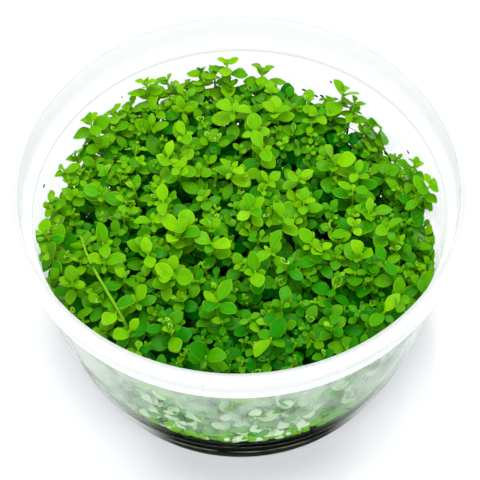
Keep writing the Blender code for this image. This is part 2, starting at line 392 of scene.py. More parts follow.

# Painted shade: fine grey lines follow the edge of the lip and the ledge, on the inside.
from_axis = {0: place, 1: (1.0, 1.0, 0.0)}
from_axis = add_node(tree, "ShaderNodeVectorMath", from_axis, operation="MULTIPLY").outputs[0]
from_axis = add_node(tree, "ShaderNodeVectorMath", {0: from_axis}, operation="LENGTH")
inside = spread(tree, from_axis.outputs["Value"], *INSIDE_START, 1.0, 0.0)
lip_shade_line = spread(tree, height, LIP_HEIGHT - LIP_LINE, LIP_HEIGHT - LIP_LINE / 2)
above_lip = spread(tree, height, LIP_HEIGHT, LIP_HEIGHT + LIP_LINE / 2, LIP_LINE_SHARE, 0.0)
lip_shade_line = reckon(tree, "MULTIPLY", lip_shade_line, above_lip)
ledge_shade_line = band(tree, height, LEDGE_HEIGHT - LEDGE_LINE / 2, LEDGE_LINE)
ledge_shade_line = reckon(tree, "MULTIPLY", ledge_shade_line, LEDGE_LINE_SHARE)
edge_shade_line = reckon(tree, "MULTIPLY", reckon(tree, "MAXIMUM", lip_shade_line, ledge_shade_line), inside)
tree.links.new(reckon(tree, "MAXIMUM", haze, edge_shade_line), shader.inputs["Alpha"])

# Where the gel touches the wall, an olive line runs along its foot, and a painted reflection makes its ends
# at the sides look grey.
olive = band(tree, height, OLIVE_LINE_HEIGHT, OLIVE_LINE_WIDTH)
olive = reckon(tree, "MULTIPLY", olive, spread(tree, clouds, *OLIVE_EDGES))
olive = reckon(tree, "MULTIPLY", olive, front)
wet = tint(tree, olive, GEL_TOUCH_DARK, GEL_TOUCH_OLIVE)
off_middle = reckon(tree, "ABSOLUTE", reckon(tree, "SUBTRACT", sideways, GEL_MIDDLE))
reflected_grey_ends = spread(tree, backwards, *SIDE_GEL_END, 1.0, 0.0)
reflected_grey_ends = reckon(tree, "MULTIPLY", reflected_grey_ends, spread(tree, off_middle, *SIDE_GEL_START))
# Painted reflection: the dark band turns grey towards the sides.
wet = tint(tree, reflected_grey_ends, wet, SIDE_GEL_REFLECTION_GREY)

# The sides take a pale painted reflection colour, for the surroundings mirrored where the curved wall turns
# away.
colour = tint(tree, beside, HAZE_GREEN_BOUNCE_LIGHT, SIDE_REFLECTION_WHITE)
# Below the top of the plants the haze colour is painted green, as painted light thrown back from the
# leaves.
colour = tint(tree, plant_level, HAZE_WHITE, colour)
# Painted light: the collar's inside is painted lighter than its outside, for light that shines through the
# milky collar.
colour = tint(tree, collar, colour, tint(tree, inside, MILKY_WHITE, LIT_MILKY_INSIDE))
colour = tint(tree, above_gel, wet, colour)
# The foot is painted milky white: hazy plastic and a painted highlight along the base's corner.
colour = tint(tree, foot, colour, MILKY_WHITE)
# The lines along the lip and the ledge are painted grey shade.
tree.links.new(tint(tree, edge_shade_line, colour, EDGE_SHADE_GREY), shader.inputs["Base Color"])
shine = spread(tree, height, *SHINE_START, 0.0, PLASTIC_SHINE)
shine = between(tree, collar, shine, COLLAR_SHINE)
tree.links.new(shine, shader.inputs["Specular IOR Level"])
roughen(tree, shader, place, *PLASTIC_ROUGHNESS)
relief(tree, shader, place, *PLASTIC_GRAIN)
tree.links.new(reckon(tree, "MULTIPLY", collar, COLLAR_GLOW), shader.inputs["Subsurface Weight"])
shader.inputs["Subsurface Radius"].default_value = (1.0, 1.0, 1.0)
shader.inputs["Subsurface Scale"].default_value = COLLAR_GLOW_DEPTH
tub.data.materials.append(tub_finish)
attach(tub, "root")
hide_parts("cup")


# Culture gel
# A firm jelly, nearly black, poured into the tub while warm. It creeps up a little where it meets
# the wall, and its surface is wet and smooth.
GEL_GAP = 0.12 * MM
GEL_SIDE_STEPS = 6
MENISCUS_RISE = 0.4 * MM
MENISCUS_STEPS = ((1.6, 0.0), (0.9, 0.08), (0.4, 0.22))
GEL_HEIGHT = GEL_EDGE_HEIGHT - MENISCUS_RISE
GEL_SHARP_EDGE = radians(40)
GEL_BLACK = (0.007, 0.009, 0.006)
GEL_OLIVE = (0.06, 0.07, 0.04)
GEL_THIN_EDGE = (2.2 * MM, 3.4 * MM)
GEL_CLOUDS = 220.0
GEL_CLOUD_EDGES = (0.45, 0.75)
GEL_CLOUD_SHARE = 0.35
GEL_SHINE = 0.02
GEL_ROUGHNESS = (90.0, 0.12, 0.3)
GEL_GRAIN = (260.0, 0.3 * MM, 0.3)
gel_low = BASE_THICKNESS + GEL_GAP
gel_side = wall_line(gel_low + CORNER, GEL_EDGE_HEIGHT, GEL_SIDE_STEPS, WALL + GEL_GAP)
gel_rings = [(gel_side[0][0] - CORNER, gel_low)] + gel_side
for inward, rise in MENISCUS_STEPS[::-1]:
    gel_rings.append((gel_side[-1][0] - inward * MM, GEL_HEIGHT + rise * MM))
gel = turned_body("culture_gel", gel_rings, TUB_SIDES)
bpy.ops.object.shade_smooth_by_angle(angle=GEL_SHARP_EDGE)

gel_finish, tree, shader = new_finish("wet_dark_gel")
place = object_place(tree)
height = apart(tree, place)[2]
thin_edge = spread(tree, height, *GEL_THIN_EDGE, 1.0, 0.0)
cloudy = spread(tree, noise(tree, place, GEL_CLOUDS), *GEL_CLOUD_EDGES, 0.0, GEL_CLOUD_SHARE)
share = reckon(tree, "MAXIMUM", thin_edge, cloudy)
tree.links.new(tint(tree, share, GEL_BLACK, GEL_OLIVE), shader.inputs["Base Color"])
roughen(tree, shader, place, *GEL_ROUGHNESS)
relief(tree, shader, place, *GEL_GRAIN)
shader.inputs["Specular IOR Level"].default_value = GEL_SHINE
gel.data.materials.append(gel_finish)
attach(gel, "root")
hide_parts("gel")


# Tufts of leaves
# Each plantlet is a tuft of thin pale stems that root in the gel. Small fleshy leaves sit on them
# in pairs, each pair at right angles to the next, and crowd into a rosette at every tip.
LEAF_SIDES = 8
LEAF_RINGS = 8
FLAT_SHARE = 0.86
LEAF_THICKNESS = 0.22 * MM
RIM_THICKNESS = 0.07 * MM
VEIN_DEPTH = 0.03 * MM
NEAR_VEIN = 0.1
NEAR_RIM = 0.9
LEAF_POINT = 0.58
LEAF_POINT_GAIN = 0.7
WIDEST_RANGE = (0.95, 1.25)
CURL_START = 0.4
RIPPLES_ALONG = 5.0
RIPPLES_ACROSS = 1.5
PLANT_CLEARANCE = 0.5 * MM
PRESS_DEPTH = 0.9 * MM
STEM_SIDES = 5
STEM_STEPS = 10
STEM_THICK = 0.42 * MM
STEM_THIN = 0.24 * MM

FRESH_GREEN = (0.18, 0.45, 0.0)
MIDDLE_GREEN = (0.03, 0.26, 0.0)
PAINTED_SHADE_GREEN = (0.0, 0.155, 0.0)
MOTTLE_FINENESS = 700.0
MOTTLE_EDGES = (0.3, 0.7)
MOTTLE_SHARE = 0.25
PALE_RIM = (0.29, 0.58, 0.01)
RIM_START = (0.80, 1.0)
RIM_SHARE = 0.8
VEIN_WIDTH = 0.16
VEIN_SHARE = 0.12
BUD_RIM_AND_HIGHLIGHT = (0.38, 0.68, 0.07)
BUD_RIM_START = (0.45, 0.85)
BUD_TIP_START = (0.80, 0.95)
PALE_UNDERSIDE = (0.05, 0.30, 0.0)
UNDERSIDE_EDGES = (0.4, -0.4)
UNDERSIDE_SHARE = 0.5
STEM_GREEN = (0.18, 0.40, 0.008)
PAINTED_WALL_LIGHT = (0.55, 0.70, 0.47)
LEAF_SHINE = 0.05
LEAF_ROUGHNESS = (900.0, 0.12, 0.42, (0.35, 0.65))
LEAF_GRAIN = (2600.0, 0.06 * MM, 0.35)

bpy.ops.mesh.primitive_uv_sphere_add(segments=LEAF_SIDES, ring_count=LEAF_RINGS, radius=1.0)
leaf_form = bpy.context.active_object
bpy.ops.object.mode_set(mode="EDIT")
bpy.ops.mesh.quads_convert_to_tris()
bpy.ops.object.mode_set(mode="OBJECT")
ball = np.array([vertex.co for vertex in leaf_form.data.vertices])
leaf_faces = np.array([face.vertices for face in leaf_form.data.polygons])
bpy.ops.object.delete()
leaf_along = (ball[:, 2] + 1) / 2
ring_reach = np.maximum(np.hypot(ball[:, 0], ball[:, 1]), 1e-6)
on_axis = ring_reach < 1e-3
leaf_across = np.where(on_axis, 0.0, ball[:, 0] / ring_reach)
leaf_side = np.where(on_axis, 0.0, ball[:, 1] / ring_reach)
inner = (np.abs(leaf_across) > NEAR_VEIN) & (np.abs(leaf_across) < NEAR_RIM)
leaf_across = np.where(inner, np.sign(leaf_across) * FLAT_SHARE, leaf_across)
leaf_side = np.where(np.abs(leaf_side) < 0.1, 0.0, np.sign(leaf_side))


def unit(vectors):
    """Vectors brought to length one."""
    return vectors / np.linalg.norm(vectors, axis=-1, keepdims=True)


def shape_leaves(base, axis, normal, length, width, cup, curl, wave, widest):
    """Points of many leaves, bent from the flat form: cupped across, curled along and a little wavy."""
    bends = (length, width, cup, curl, wave, widest)
    length, width, cup, curl, wave, widest = (value[:, None] for value in bends)
    along = np.broadcast_to(leaf_along, (len(base), len(leaf_along)))
    pointed = LEAF_POINT + LEAF_POINT_GAIN * (widest - WIDEST_RANGE[0])
    half = width / 2 * np.sin(pi * along ** widest) ** pointed
    across = leaf_across * half
    rise = cup * across ** 2 / (width / 2)
    rise = rise - curl * length * (along ** 2 - CURL_START * along)
    ripple = np.sin(along * RIPPLES_ALONG + leaf_across * RIPPLES_ACROSS)
    rise = rise + wave * length * ripple * np.abs(leaf_across)
    body = 1 - np.abs(leaf_across) ** 2
    rise = rise + leaf_side * (RIM_THICKNESS + (LEAF_THICKNESS - RIM_THICKNESS) * body) / 2
    on_vein = (np.abs(leaf_across) < NEAR_VEIN) & (leaf_side > 0)
    rise = rise - on_vein * VEIN_DEPTH * np.sin(pi * leaf_along)
    sideways = np.cross(axis, normal)
    reach = along * length
    return (
        base[:, None, :]
        + reach[..., None] * axis[:, None, :]
        + across[..., None] * sideways[:, None, :]
        + rise[..., None] * normal[:, None, :]
    )


def press_to_wall(points):
    """Flattens what would pass the tub's wall against its inside."""
    height = np.clip(points[..., 2], CORNER, LEDGE_HEIGHT)
    room = wall_radius(height) - WALL - PLANT_CLEARANCE / 2
    reach = np.maximum(np.hypot(points[..., 0], points[..., 1]), 1e-9)
    over = np.maximum(reach - (room - PRESS_DEPTH), 0.0)
    kept = reach - over + PRESS_DEPTH * (1 - np.exp(-over / PRESS_DEPTH))
    points[..., :2] *= (kept / reach)[..., None]
    return points


def stem_line(root, tip, lean, wander):
    """A stem's middle line, from its root straight up and then over towards its tip."""
    rise = np.linalg.norm(tip - root)
    controls = (root, root + np.array((0, 0, rise / 3)) + wander, tip - lean * rise / 3, tip)
    step = np.linspace(0, 1, STEM_STEPS)[:, None]
    weights = ((1 - step) ** 3, 3 * step * (1 - step) ** 2, 3 * step ** 2 * (1 - step), step ** 3)
    return sum(weight * control for weight, control in zip(weights, controls))


def stem_tube(line):
    """A stem's closed skin round its middle line."""
    ahead = unit(np.gradient(line, axis=0))
    nearly_back = np.array((0.3, 1.0, 0.1))
    first = unit(np.cross(ahead, nearly_back))
    second = np.cross(ahead, first)
    thick = np.linspace(STEM_THICK, STEM_THIN, len(line))[:, None, None]
    turn = np.arange(STEM_SIDES) * 2 * pi / STEM_SIDES
    rings = line[:, None, :] + thick * (
        np.cos(turn)[None, :, None] * first[:, None, :] + np.sin(turn)[None, :, None] * second[:, None, :]
    )
    points = np.concatenate([rings.reshape(-1, 3), line[:1], line[-1:]])
    faces = []
    last = len(line) - 1
    for step in range(last):
        for side in range(STEM_SIDES):
            near = step * STEM_SIDES + side
            beside = step * STEM_SIDES + (side + 1) % STEM_SIDES
            faces += [(near, beside, beside + STEM_SIDES), (near, beside + STEM_SIDES, near + STEM_SIDES)]
    for side in range(STEM_SIDES):
        beside = (side + 1) % STEM_SIDES
        faces.append((beside, side, len(points) - 2))
        faces.append((last * STEM_SIDES + side, last * STEM_SIDES + beside, len(points) - 1))
    return points, np.array(faces)


def carried(tree, title):
    """Reads what each point of a tuft carries."""
    return add_node(tree, "ShaderNodeAttribute", {}, attribute_name=title)


leaf_finish, tree, shader = new_finish("fresh_leaf")
place = object_place(tree)
from_vein, along_leaf, upper_side = apart(tree, carried(tree, "leaf_place").outputs["Vector"])
fresh_and_lit_here, light_here, stem_here = apart(tree, carried(tree, "leaf_look").outputs["Vector"])
# Leaves run from middle to fresh green by their age and by painted light, lighter towards the back and the
# left.
green = tint(tree, fresh_and_lit_here, MIDDLE_GREEN, FRESH_GREEN)
mottle = spread(tree, noise(tree, place, MOTTLE_FINENESS), *MOTTLE_EDGES, 0.0, MOTTLE_SHARE)
green = tint(tree, mottle, green, MIDDLE_GREEN)
green = tint(tree, spread(tree, from_vein, *RIM_START, 0.0, RIM_SHARE), green, PALE_RIM)
green = tint(tree, spread(tree, from_vein, 0.0, VEIN_WIDTH, VEIN_SHARE, 0.0), green, PALE_RIM)
below = spread(tree, upper_side, *UNDERSIDE_EDGES, 0.0, UNDERSIDE_SHARE)
green = tint(tree, below, green, PALE_UNDERSIDE)
green = tint(tree, stem_here, green, STEM_GREEN)
# Painted shade: leaves and stems with less daylight are darkened towards a deep shade green.
green = tint(tree, light_here, PAINTED_SHADE_GREEN, green)
# Curled bud leaves get a paler rim and tip: partly their own young colour, partly a painted highlight.
bud_rim_highlight = reckon(tree, "MAXIMUM", spread(tree, from_vein, *BUD_RIM_START),
                 spread(tree, along_leaf, *BUD_TIP_START))
bud_rim_highlight = reckon(tree, "MULTIPLY", carried(tree, "leaf_bud").outputs["Fac"], bud_rim_highlight)
green = tint(tree, bud_rim_highlight, green, BUD_RIM_AND_HIGHLIGHT)
# Painted light: leaves by the wall are paled where light through the wall falls on them.
green = tint(tree, carried(tree, "leaf_wall_light").outputs["Fac"], green, PAINTED_WALL_LIGHT)
tree.links.new(green, shader.inputs["Base Color"])
roughen(tree, shader, place, *LEAF_ROUGHNESS)
shader.inputs["Specular IOR Level"].default_value = LEAF_SHINE
relief(tree, shader, place, *LEAF_GRAIN)

# How a stem bears its leaves, from its tip down: the distance of each pair from the tip, and the
# length, lift and cup of its leaves. Leaves turn towards the light, and each differs a little.
TO_LIGHT = np.array((0.0, -0.24, 0.46))
NODE_DISTANCES = np.array((0.3, 1.2, 2.8, 4.8, 7.2, 9.8, 12.6, 15.6, 18.8, 22.2)) * MM
NODE_LENGTHS = np.array((2.6, 3.8, 4.5, 4.8, 4.8, 4.6, 4.4, 4.2, 4.0, 3.8)) * MM
NODE_LIFTS = np.radians((34, 22, 12, 6, 2, 0, -4, -8, -10, -12))
NODE_CUPS = np.array((0.30, 0.20, 0.14, 0.10, 0.07, 0.05, 0.04, 0.0, 0.0, 0.0))
TIP_PAIRS = 2
TIP_FACING = 0.3
BARE_FOOT = 1.5 * MM
HIDDEN_DEPTH = 15.0 * MM
SEEN_THROUGH_WALL = 33.0 * MM
WHOLE_PAIRS = 4
LOST_SHARE = 0.12
PAIR_SHUFFLE = 0.12
LEAF_SHUFFLE = 0.1
LIFT_SHUFFLE = 0.16
TILT_SHUFFLE = 0.24
LEAF_LENGTHS = (0.80, 1.12)
LEAF_WIDTHS = (0.52, 0.82)
EXTRA_CUP = (0.05, 0.12)
CURL = (0.10, 0.12)
WAVE = (0.0, 0.03)
ON_STEM = 0.6
BUD_LENGTH = 1.5 * MM
BUD_LIFT = radians(62)
BUD_CUP = 0.6


def leafy_rows(dice, line, distances, lengths, lifts, cups, size, facing, first_turn=None):
    """One row for each leaf along a stem: where it sits, how it lies, its size, its bend and its age."""
    steps = np.linalg.norm(np.diff(line, axis=0), axis=1)
    from_tip = np.concatenate([[0.0], np.cumsum(steps[::-1])])
    ahead = unit(np.gradient(line, axis=0))
    nearly_back = np.array((0.0, 1.0, 0.02))
    random_turn = dice.uniform(0, 2 * pi)
    first_turn = random_turn if first_turn is None else first_turn
    rows = []
    for level, distance in enumerate(distances):
        if distance > from_tip[-1] - BARE_FOOT:
            break
        spot = np.array([np.interp(distance, from_tip, line[::-1, i]) for i in range(3)])
        way = unit(np.array([np.interp(distance, from_tip, ahead[::-1, i]) for i in range(3)]))
        if line[-1, 2] - spot[2] > HIDDEN_DEPTH and np.hypot(*spot[:2]) < SEEN_THROUGH_WALL:
            break
        flat = unit(np.cross(nearly_back, way))
        across = np.cross(way, flat)
        heading = first_turn + level * pi / 2 + dice.normal(0, PAIR_SHUFFLE)
        turn_to_light = facing * (TIP_FACING if level < TIP_PAIRS else 1.0)
        for half_turn in (0.0, pi):
            if level >= WHOLE_PAIRS and dice.random() < LOST_SHARE:
                continue
            turn = heading + half_turn + dice.normal(0, LEAF_SHUFFLE)
            out = flat * cos(turn) + across * sin(turn)
            lift = lifts[level] + dice.normal(0, LIFT_SHUFFLE)
            axis = out * cos(lift) + way * sin(lift)
            normal = way * cos(lift) - out * sin(lift)
            normal = unit(normal + turn_to_light + dice.normal(0, TILT_SHUFFLE, 3))
            axis = unit(axis - normal * np.dot(axis, normal))
            length = lengths[level] * size * dice.uniform(*LEAF_LENGTHS)
            rows.append((
                *(spot + out * STEM_THIN * ON_STEM), *axis, *normal,
                length, length * dice.uniform(*LEAF_WIDTHS), cups[level] + dice.normal(*EXTRA_CUP),
                dice.normal(*CURL), dice.normal(*WAVE), dice.uniform(*WIDEST_RANGE), level,
            ))
    return rows


# Where each plantlet stands. It roots where the frame has its foot, and the mat is as high over
# it as the frame has it.
FOOT_SLICE = 0.1 * MM
CANOPY_LEVEL = 36.0 * MM
CROWN_BLUR = 2.0 * MM
ROOT_DEPTH = 0.6 * MM
PHOTO_SIZE = 480
SETTLE_STEPS = 4

nodes = [f"plantlet_{index:02d}" for index in range(1, 38)]
room_at_top = wall_radius(CANOPY_LEVEL) - WALL - PLANT_CLEARANCE
homes = []
for node in nodes:
    points = np.array([vertex.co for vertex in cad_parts[node].data.vertices])
    foot = points[points[:, 2] < points[:, 2].min() + FOOT_SLICE].mean(axis=0)
    root_room = wall_radius(foot[2]) - WALL - PLANT_CLEARANCE
    homes.append(foot[:2] * room_at_top / root_room)
homes = np.array(homes)
crowns = np.array([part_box(node)[1].z for node in nodes])


def crown_over(plan):
    """Height of the mat at a place, from the plantlets round it."""
    weights = 1 / (np.sum((homes - plan) ** 2, axis=1) + CROWN_BLUR ** 2) ** 2
    return np.sum(weights * crowns) / np.sum(weights)


def owner_of(plan):
    """The plantlet that a shoot at a place belongs to."""
    return int(np.argmin(np.sum((homes - plan) ** 2, axis=1)))


def rooted(plan):
    """Where a shoot roots in the gel. The tub narrows towards the gel, so roots stand closer together."""
    return np.array((*(plan * root_room / room_at_top), GEL_HEIGHT - ROOT_DEPTH))


def seen_at(right, down, height):
    """The point at a height that the camera sees at a place in the photograph."""
    reach = CAMERA_SENSOR / CAMERA_LENS / PHOTO_SIZE
    off_axis = Vector(((right - PHOTO_SIZE / 2) * reach, (PHOTO_SIZE / 2 - down) * reach, -1))
    ray = camera.matrix_world.to_3x3() @ off_axis
    return np.array(CAMERA_PLACE + ray * ((height - CAMERA_PLACE.z) / ray.z))


def on_canopy(right, down, rise):
    """The point on the mat, or a little over it, that is seen at a place in the photograph."""
    height = CANOPY_LEVEL
    for settle in range(SETTLE_STEPS):
        spot = seen_at(right, down, height)
        height = crown_over(spot[:2]) + rise
    return seen_at(right, down, height)


# The outline of the mat's far and right edge, as the turn from the right-hand side in degrees and
# the height of the tallest shoot there in millimetres.
EDGE_TIPS = (
    (-169, 42.5), (-174, 44.4), (169, 38.7), (157, 39.2), (150, 36.7), (141, 43.2), (132, 40.7),
    (125, 39.2), (119, 43.9), (112, 42.0), (106, 38.8), (101, 42.0), (97, 41.6), (93, 44.3),
    (89, 34.9), (82, 41.5), (78, 35.7), (70, 34.1), (60, 37.3), (55, 42.7), (51, 40.8), (44, 36.9),
    (40, 30.9), (31, 34.3), (21, 40.2), (10, 43.2), (7, 31.0), (3, 31.5), (-1, 31.0), (-5, 30.0),
    (-9, 32.5), (-13, 33.5), (-18, 33.5),
)
EDGE_INSET = 2.0 * MM
EDGE_SLOPE = 1.3
EDGE_DROP = 1.2 * MM
edge_turns = [((degrees + 90) % 360, tall * MM) for degrees, tall in EDGE_TIPS]
edge_turns, edge_heights = np.array(sorted(edge_turns)).T


def edge_over(plan):
    """How high a shoot may reach at a place, to stay under the outline of the mat's edge."""
    turn = (np.degrees(np.arctan2(plan[1], plan[0])) + 90) % 360
    edge = np.interp(turn, edge_turns, edge_heights, left=LIP_HEIGHT, right=LIP_HEIGHT)
    return edge - EDGE_DROP + EDGE_SLOPE * (room_at_top - EDGE_INSET - np.linalg.norm(plan[:2]))


# Rosettes that the photograph shows clearly: where they are seen, how many degrees their first pair
# is turned, and the lengths of the first two pairs in millimetres. The last ones are curled buds.
SEEN_ROSETTES = (
    (252, 208, 120, 4.6, 3.8), (270, 249, 58, 5.4, 1.6), (212, 243, -30, 4.8, 2.6),
    (180, 232, -40, 5.2, 3.0), (174, 276, -25, 4.6, 2.4), (217, 301, 50, 5.2, 4.4),
    (271, 338, 52, 5.0, 3.4), (332, 326, 60, 4.6, 2.6), (384, 312, 230, 4.8, 2.4),
    (116, 312, 225, 5.2, 2.8), (206, 356, -20, 5.5, 2.6), (135, 300, 20, 4.6, 2.4),
    (129, 331, 50, 4.0, 2.4), (103, 243, 95, 4.8, 2.6), (104, 262, 5, 4.8, 2.2),
    (72, 282, 80, 4.4, 3.0), (100, 193, -10, 3.6, 2.4), (153, 221, 185, 4.4, 2.4),
    (147, 243, 180, 3.4, 2.6), (148, 254, 270, 4.2, 2.0), (166, 274, 270, 3.8, 2.2),
    (336, 162, 160, 5.4, 3.0), (353, 188, 165, 3.8, 2.2), (357, 172, 55, 3.4, 3.6),
    (304, 201, 0, 3.0, 3.4), (322, 250, 30, 3.2, 3.0), (386, 262, -60, 4.2, 2.2),
    (398, 297, 85, 4.4, 2.6), (362, 254, -35, 4.6, 2.4), (388, 228, 40, 3.6, 2.4),
    (369, 212, 270, 3.0, 2.0), (262, 149, 290, 5.0, 2.8), (256, 131, 100, 3.8, 3.2),
    (231, 168, -30, 3.8, 2.4), (300, 176, 25, 3.8, 2.6), (180, 168, 45, 3.0, 2.8),
    (183, 228, 80, 5.0, 2.4), (163, 201, 88, 4.2, 2.2), (210, 225, 10, 2.8, 2.6),
    (282, 302, 70, 4.0, 2.2), (255, 271, -80, 4.8, 2.4), (284, 217, -55, 4.0, 2.0),
    (311, 243, 120, 3.6, 2.2), (176, 236, 250, 4.2, 2.0), (171, 271, 60, 4.2, 2.0),
    (234, 109, 0, 3.8, 2.4), (276, 110, 175, 3.8, 3.8), (184, 134, 285, 4.0, 2.2),
    (168, 157, 250, 3.8, 2.4),
    (125, 275, 30, 1.7, 3.0), (101, 300, 70, 1.9, 3.0), (164, 321, 10, 1.7, 2.8),
    (171, 329, 100, 1.6, 2.6), (285, 263, 140, 1.9, 3.0), (370, 206, 0, 1.8, 2.8),
    (355, 224, 20, 1.7, 2.4),
)
SEEN_RISE = 0.6 * MM
SEEN_ROOM = 2.5 * MM
SEEN_LEAN = 0.1
CURLED_LENGTH = 2.0
ROOT_SPREAD = 0.6
SEED = 71

dice = np.random.default_rng(SEED)
shoots = {index: [] for index in range(len(nodes))}
taken = []
for right, down, turn, first_length, second_length in SEEN_ROSETTES:
    tip = on_canopy(right, down, SEEN_RISE)
    tip[:2] *= min(1.0, (room_at_top - EDGE_INSET) / np.linalg.norm(tip[:2]))
    taken.append(tip[:2])
    owner = owner_of(tip[:2])
    root = rooted(homes[owner] + (tip[:2] - homes[owner]) * ROOT_SPREAD)
    lean = np.array((*dice.normal(0, SEEN_LEAN, 2), 1.0))
    line = press_to_wall(stem_line(root, tip, lean, np.zeros(3)))
    lengths, lifts, cups = NODE_LENGTHS.copy(), NODE_LIFTS.copy(), NODE_CUPS.copy()
    lengths[:2] = first_length * MM, second_length * MM
    if first_length < CURLED_LENGTH:
        lifts[0], cups[0] = BUD_LIFT, BUD_CUP
    rows = leafy_rows(dice, line, NODE_DISTANCES, lengths, lifts, cups, 1.0, TO_LIGHT, radians(turn))
    shoots[owner].append((line, rows))

# One long stem at the left lies over the others: where it is seen, and how far over the mat it is
# in millimetres. Few leaves are left on it.
LONG_STEM = (
    (129, 331, -2.0), (116, 306, 1.2), (103, 285, 2.0), (91, 264, 2.4), (84, 247, 2.8), (81, 236, 3.2),
)
LONG_STEM_STEPS = 26
LONG_STEM_NODES = np.array((0.3, 2.6, 7.5, 12.5)) * MM
LONG_STEM_LENGTHS = np.array((1.9, 3.2, 2.0, 2.4)) * MM

seen_line = np.array([on_canopy(right, down, rise * MM) for right, down, rise in LONG_STEM])
seen_line = np.concatenate([[rooted(seen_line[0, :2])], seen_line])
steps = np.linspace(0, len(seen_line) - 1, LONG_STEM_STEPS)
long_line = np.stack([np.interp(steps, range(len(seen_line)), seen_line[:, i]) for i in range(3)], axis=1)
for smoothing in range(2):
    long_line[1:-1] = (long_line[:-2] + long_line[1:-1] + long_line[2:]) / 3
rows = leafy_rows(dice, long_line, LONG_STEM_NODES, LONG_STEM_LENGTHS, NODE_LIFTS, NODE_CUPS, 1.0, TO_LIGHT)
shoots[owner_of(long_line[-1, :2])].append((long_line, rows))

# Other shoots fill the mat evenly, apart from the rosettes and the deep dark gaps that are seen.
SEEN_GAPS = ((270, 272), (263, 262), (277, 281), (206, 254), (198, 250), (222, 228), (236, 232), (178, 305))
SHOOT_COUNT = 285
SHOOT_SHUFFLE = 0.9 * MM
SHOOT_INSET = 1.6 * MM
GOLDEN_ANGLE = pi * (3 - sqrt(5))
TIP_DROP = 1.0 * MM
HIGH_SHARE = 0.6
HIGH_DROPS = (0.0, 1.8)
LOW_DROPS = (1.5, 6.0)
LEAN_OUTWARD = 0.5
LEAN_SHUFFLE = 0.5
LEAN_ANGLES = (0.25, 0.22)
MOST_LEAN = 0.8
WANDER = 1.2 * MM
SHOOT_SPACINGS = (0.85, 1.35)
BUD_SHARE = 0.3
SMALL_SHARE = 0.35
SMALL_SIZES = (0.55, 0.8)
LARGE_SIZES = (0.75, 1.12)

for right, down in SEEN_GAPS:
    taken.append(on_canopy(right, down, 0.0)[:2])
taken = np.array(taken)


def spiral_place(number, count, inset, ahead=0.0):
    """A place on the mat. Places are spread like the seeds of a sunflower, and each is a little off."""
    reach = (room_at_top - inset) * sqrt((number + 0.5) / count)
    turn = (number + ahead) * GOLDEN_ANGLE
    plan = np.array((cos(turn), sin(turn))) * reach + dice.normal(0, SHOOT_SHUFFLE, 2)
    return plan * min(1.0, (room_at_top - inset) / np.linalg.norm(plan))


for number in range(SHOOT_COUNT):
    tip_plan = spiral_place(number, SHOOT_COUNT, SHOOT_INSET)
    if np.min(np.sum((taken - tip_plan) ** 2, axis=1)) < SEEN_ROOM ** 2:
        continue
    owner = owner_of(tip_plan)
    offset = tip_plan - homes[owner]
    drop = dice.uniform(*(HIGH_DROPS if dice.random() < HIGH_SHARE else LOW_DROPS)) * MM
    tip = np.array((*tip_plan, min(crown_over(tip_plan) - TIP_DROP - drop, edge_over(tip_plan))))
    root = rooted(homes[owner] + offset * ROOT_SPREAD)
    lean_way = unit(offset) * LEAN_OUTWARD + dice.normal(0, LEAN_SHUFFLE, 2)
    lean_angle = np.clip(abs(dice.normal(*LEAN_ANGLES)), 0.0, MOST_LEAN)
    lean = np.array((*(unit(lean_way) * sin(lean_angle)), cos(lean_angle)))
    wander = np.array((*dice.normal(0, WANDER, 2), 0.0))
    line = press_to_wall(stem_line(root, tip, lean, wander))
    distances = NODE_DISTANCES * dice.uniform(*SHOOT_SPACINGS)
    lengths, lifts, cups = NODE_LENGTHS.copy(), NODE_LIFTS.copy(), NODE_CUPS.copy()
    if dice.random() < BUD_SHARE:
        lengths[0], lifts[0], cups[0] = BUD_LENGTH, BUD_LIFT, BUD_CUP
    sizes = (dice.uniform(*SMALL_SIZES), dice.uniform(*LARGE_SIZES))
    size = dice.choice(sizes, p=(SMALL_SHARE, 1 - SMALL_SHARE))
    rows = leafy_rows(dice, line, distances, lengths, lifts, cups, size, TO_LIGHT)
    shoots[owner].append((line, rows))

# Sprouts are short young shoots with small leaves, which fill in under the tops.
SPROUT_COUNT = 120
SPROUT_PAIRS = 4
SPROUT_SPACING = 0.8
SPROUT_SIZE = 0.42
SPROUT_SIZES = (0.75, 1.3)
SPROUT_DROPS = (0.8, 3.6)
SPROUT_HEIGHT = 9.0 * MM
SPROUT_SHUFFLE = 1.5 * MM
SPROUT_LEAN = 0.3

for number in range(SPROUT_COUNT):
    tip_plan = spiral_place(number, SPROUT_COUNT, EDGE_INSET, 0.5)
    crown = crown_over(tip_plan) - dice.uniform(*SPROUT_DROPS) * MM
    tip = np.array((*tip_plan, min(crown, edge_over(tip_plan))))
    foot = np.array((*(tip_plan + dice.normal(0, SPROUT_SHUFFLE, 2)), tip[2] - SPROUT_HEIGHT))
    lean = np.array((*dice.normal(0, SPROUT_LEAN, 2), 1.0))
    line = press_to_wall(stem_line(foot, tip, lean, np.zeros(3)))
    distances = NODE_DISTANCES[:SPROUT_PAIRS] * SPROUT_SPACING
    size = SPROUT_SIZE * dice.uniform(*SPROUT_SIZES)
    rows = leafy_rows(dice, line, distances, NODE_LENGTHS, NODE_LIFTS, NODE_CUPS, size, TO_LIGHT)
    shoots[owner_of(tip_plan)].append((line, rows))

# The highest shoots along the wall, which give the mat its outline.
EDGE_ROOT_SHARE = 0.7
EDGE_LEANS = (0.0, 0.4)
EDGE_TIP_DROP = 0.8 * MM
EDGE_SPACINGS = (1.0, 1.3)
EDGE_SIZES = (0.8, 1.15)

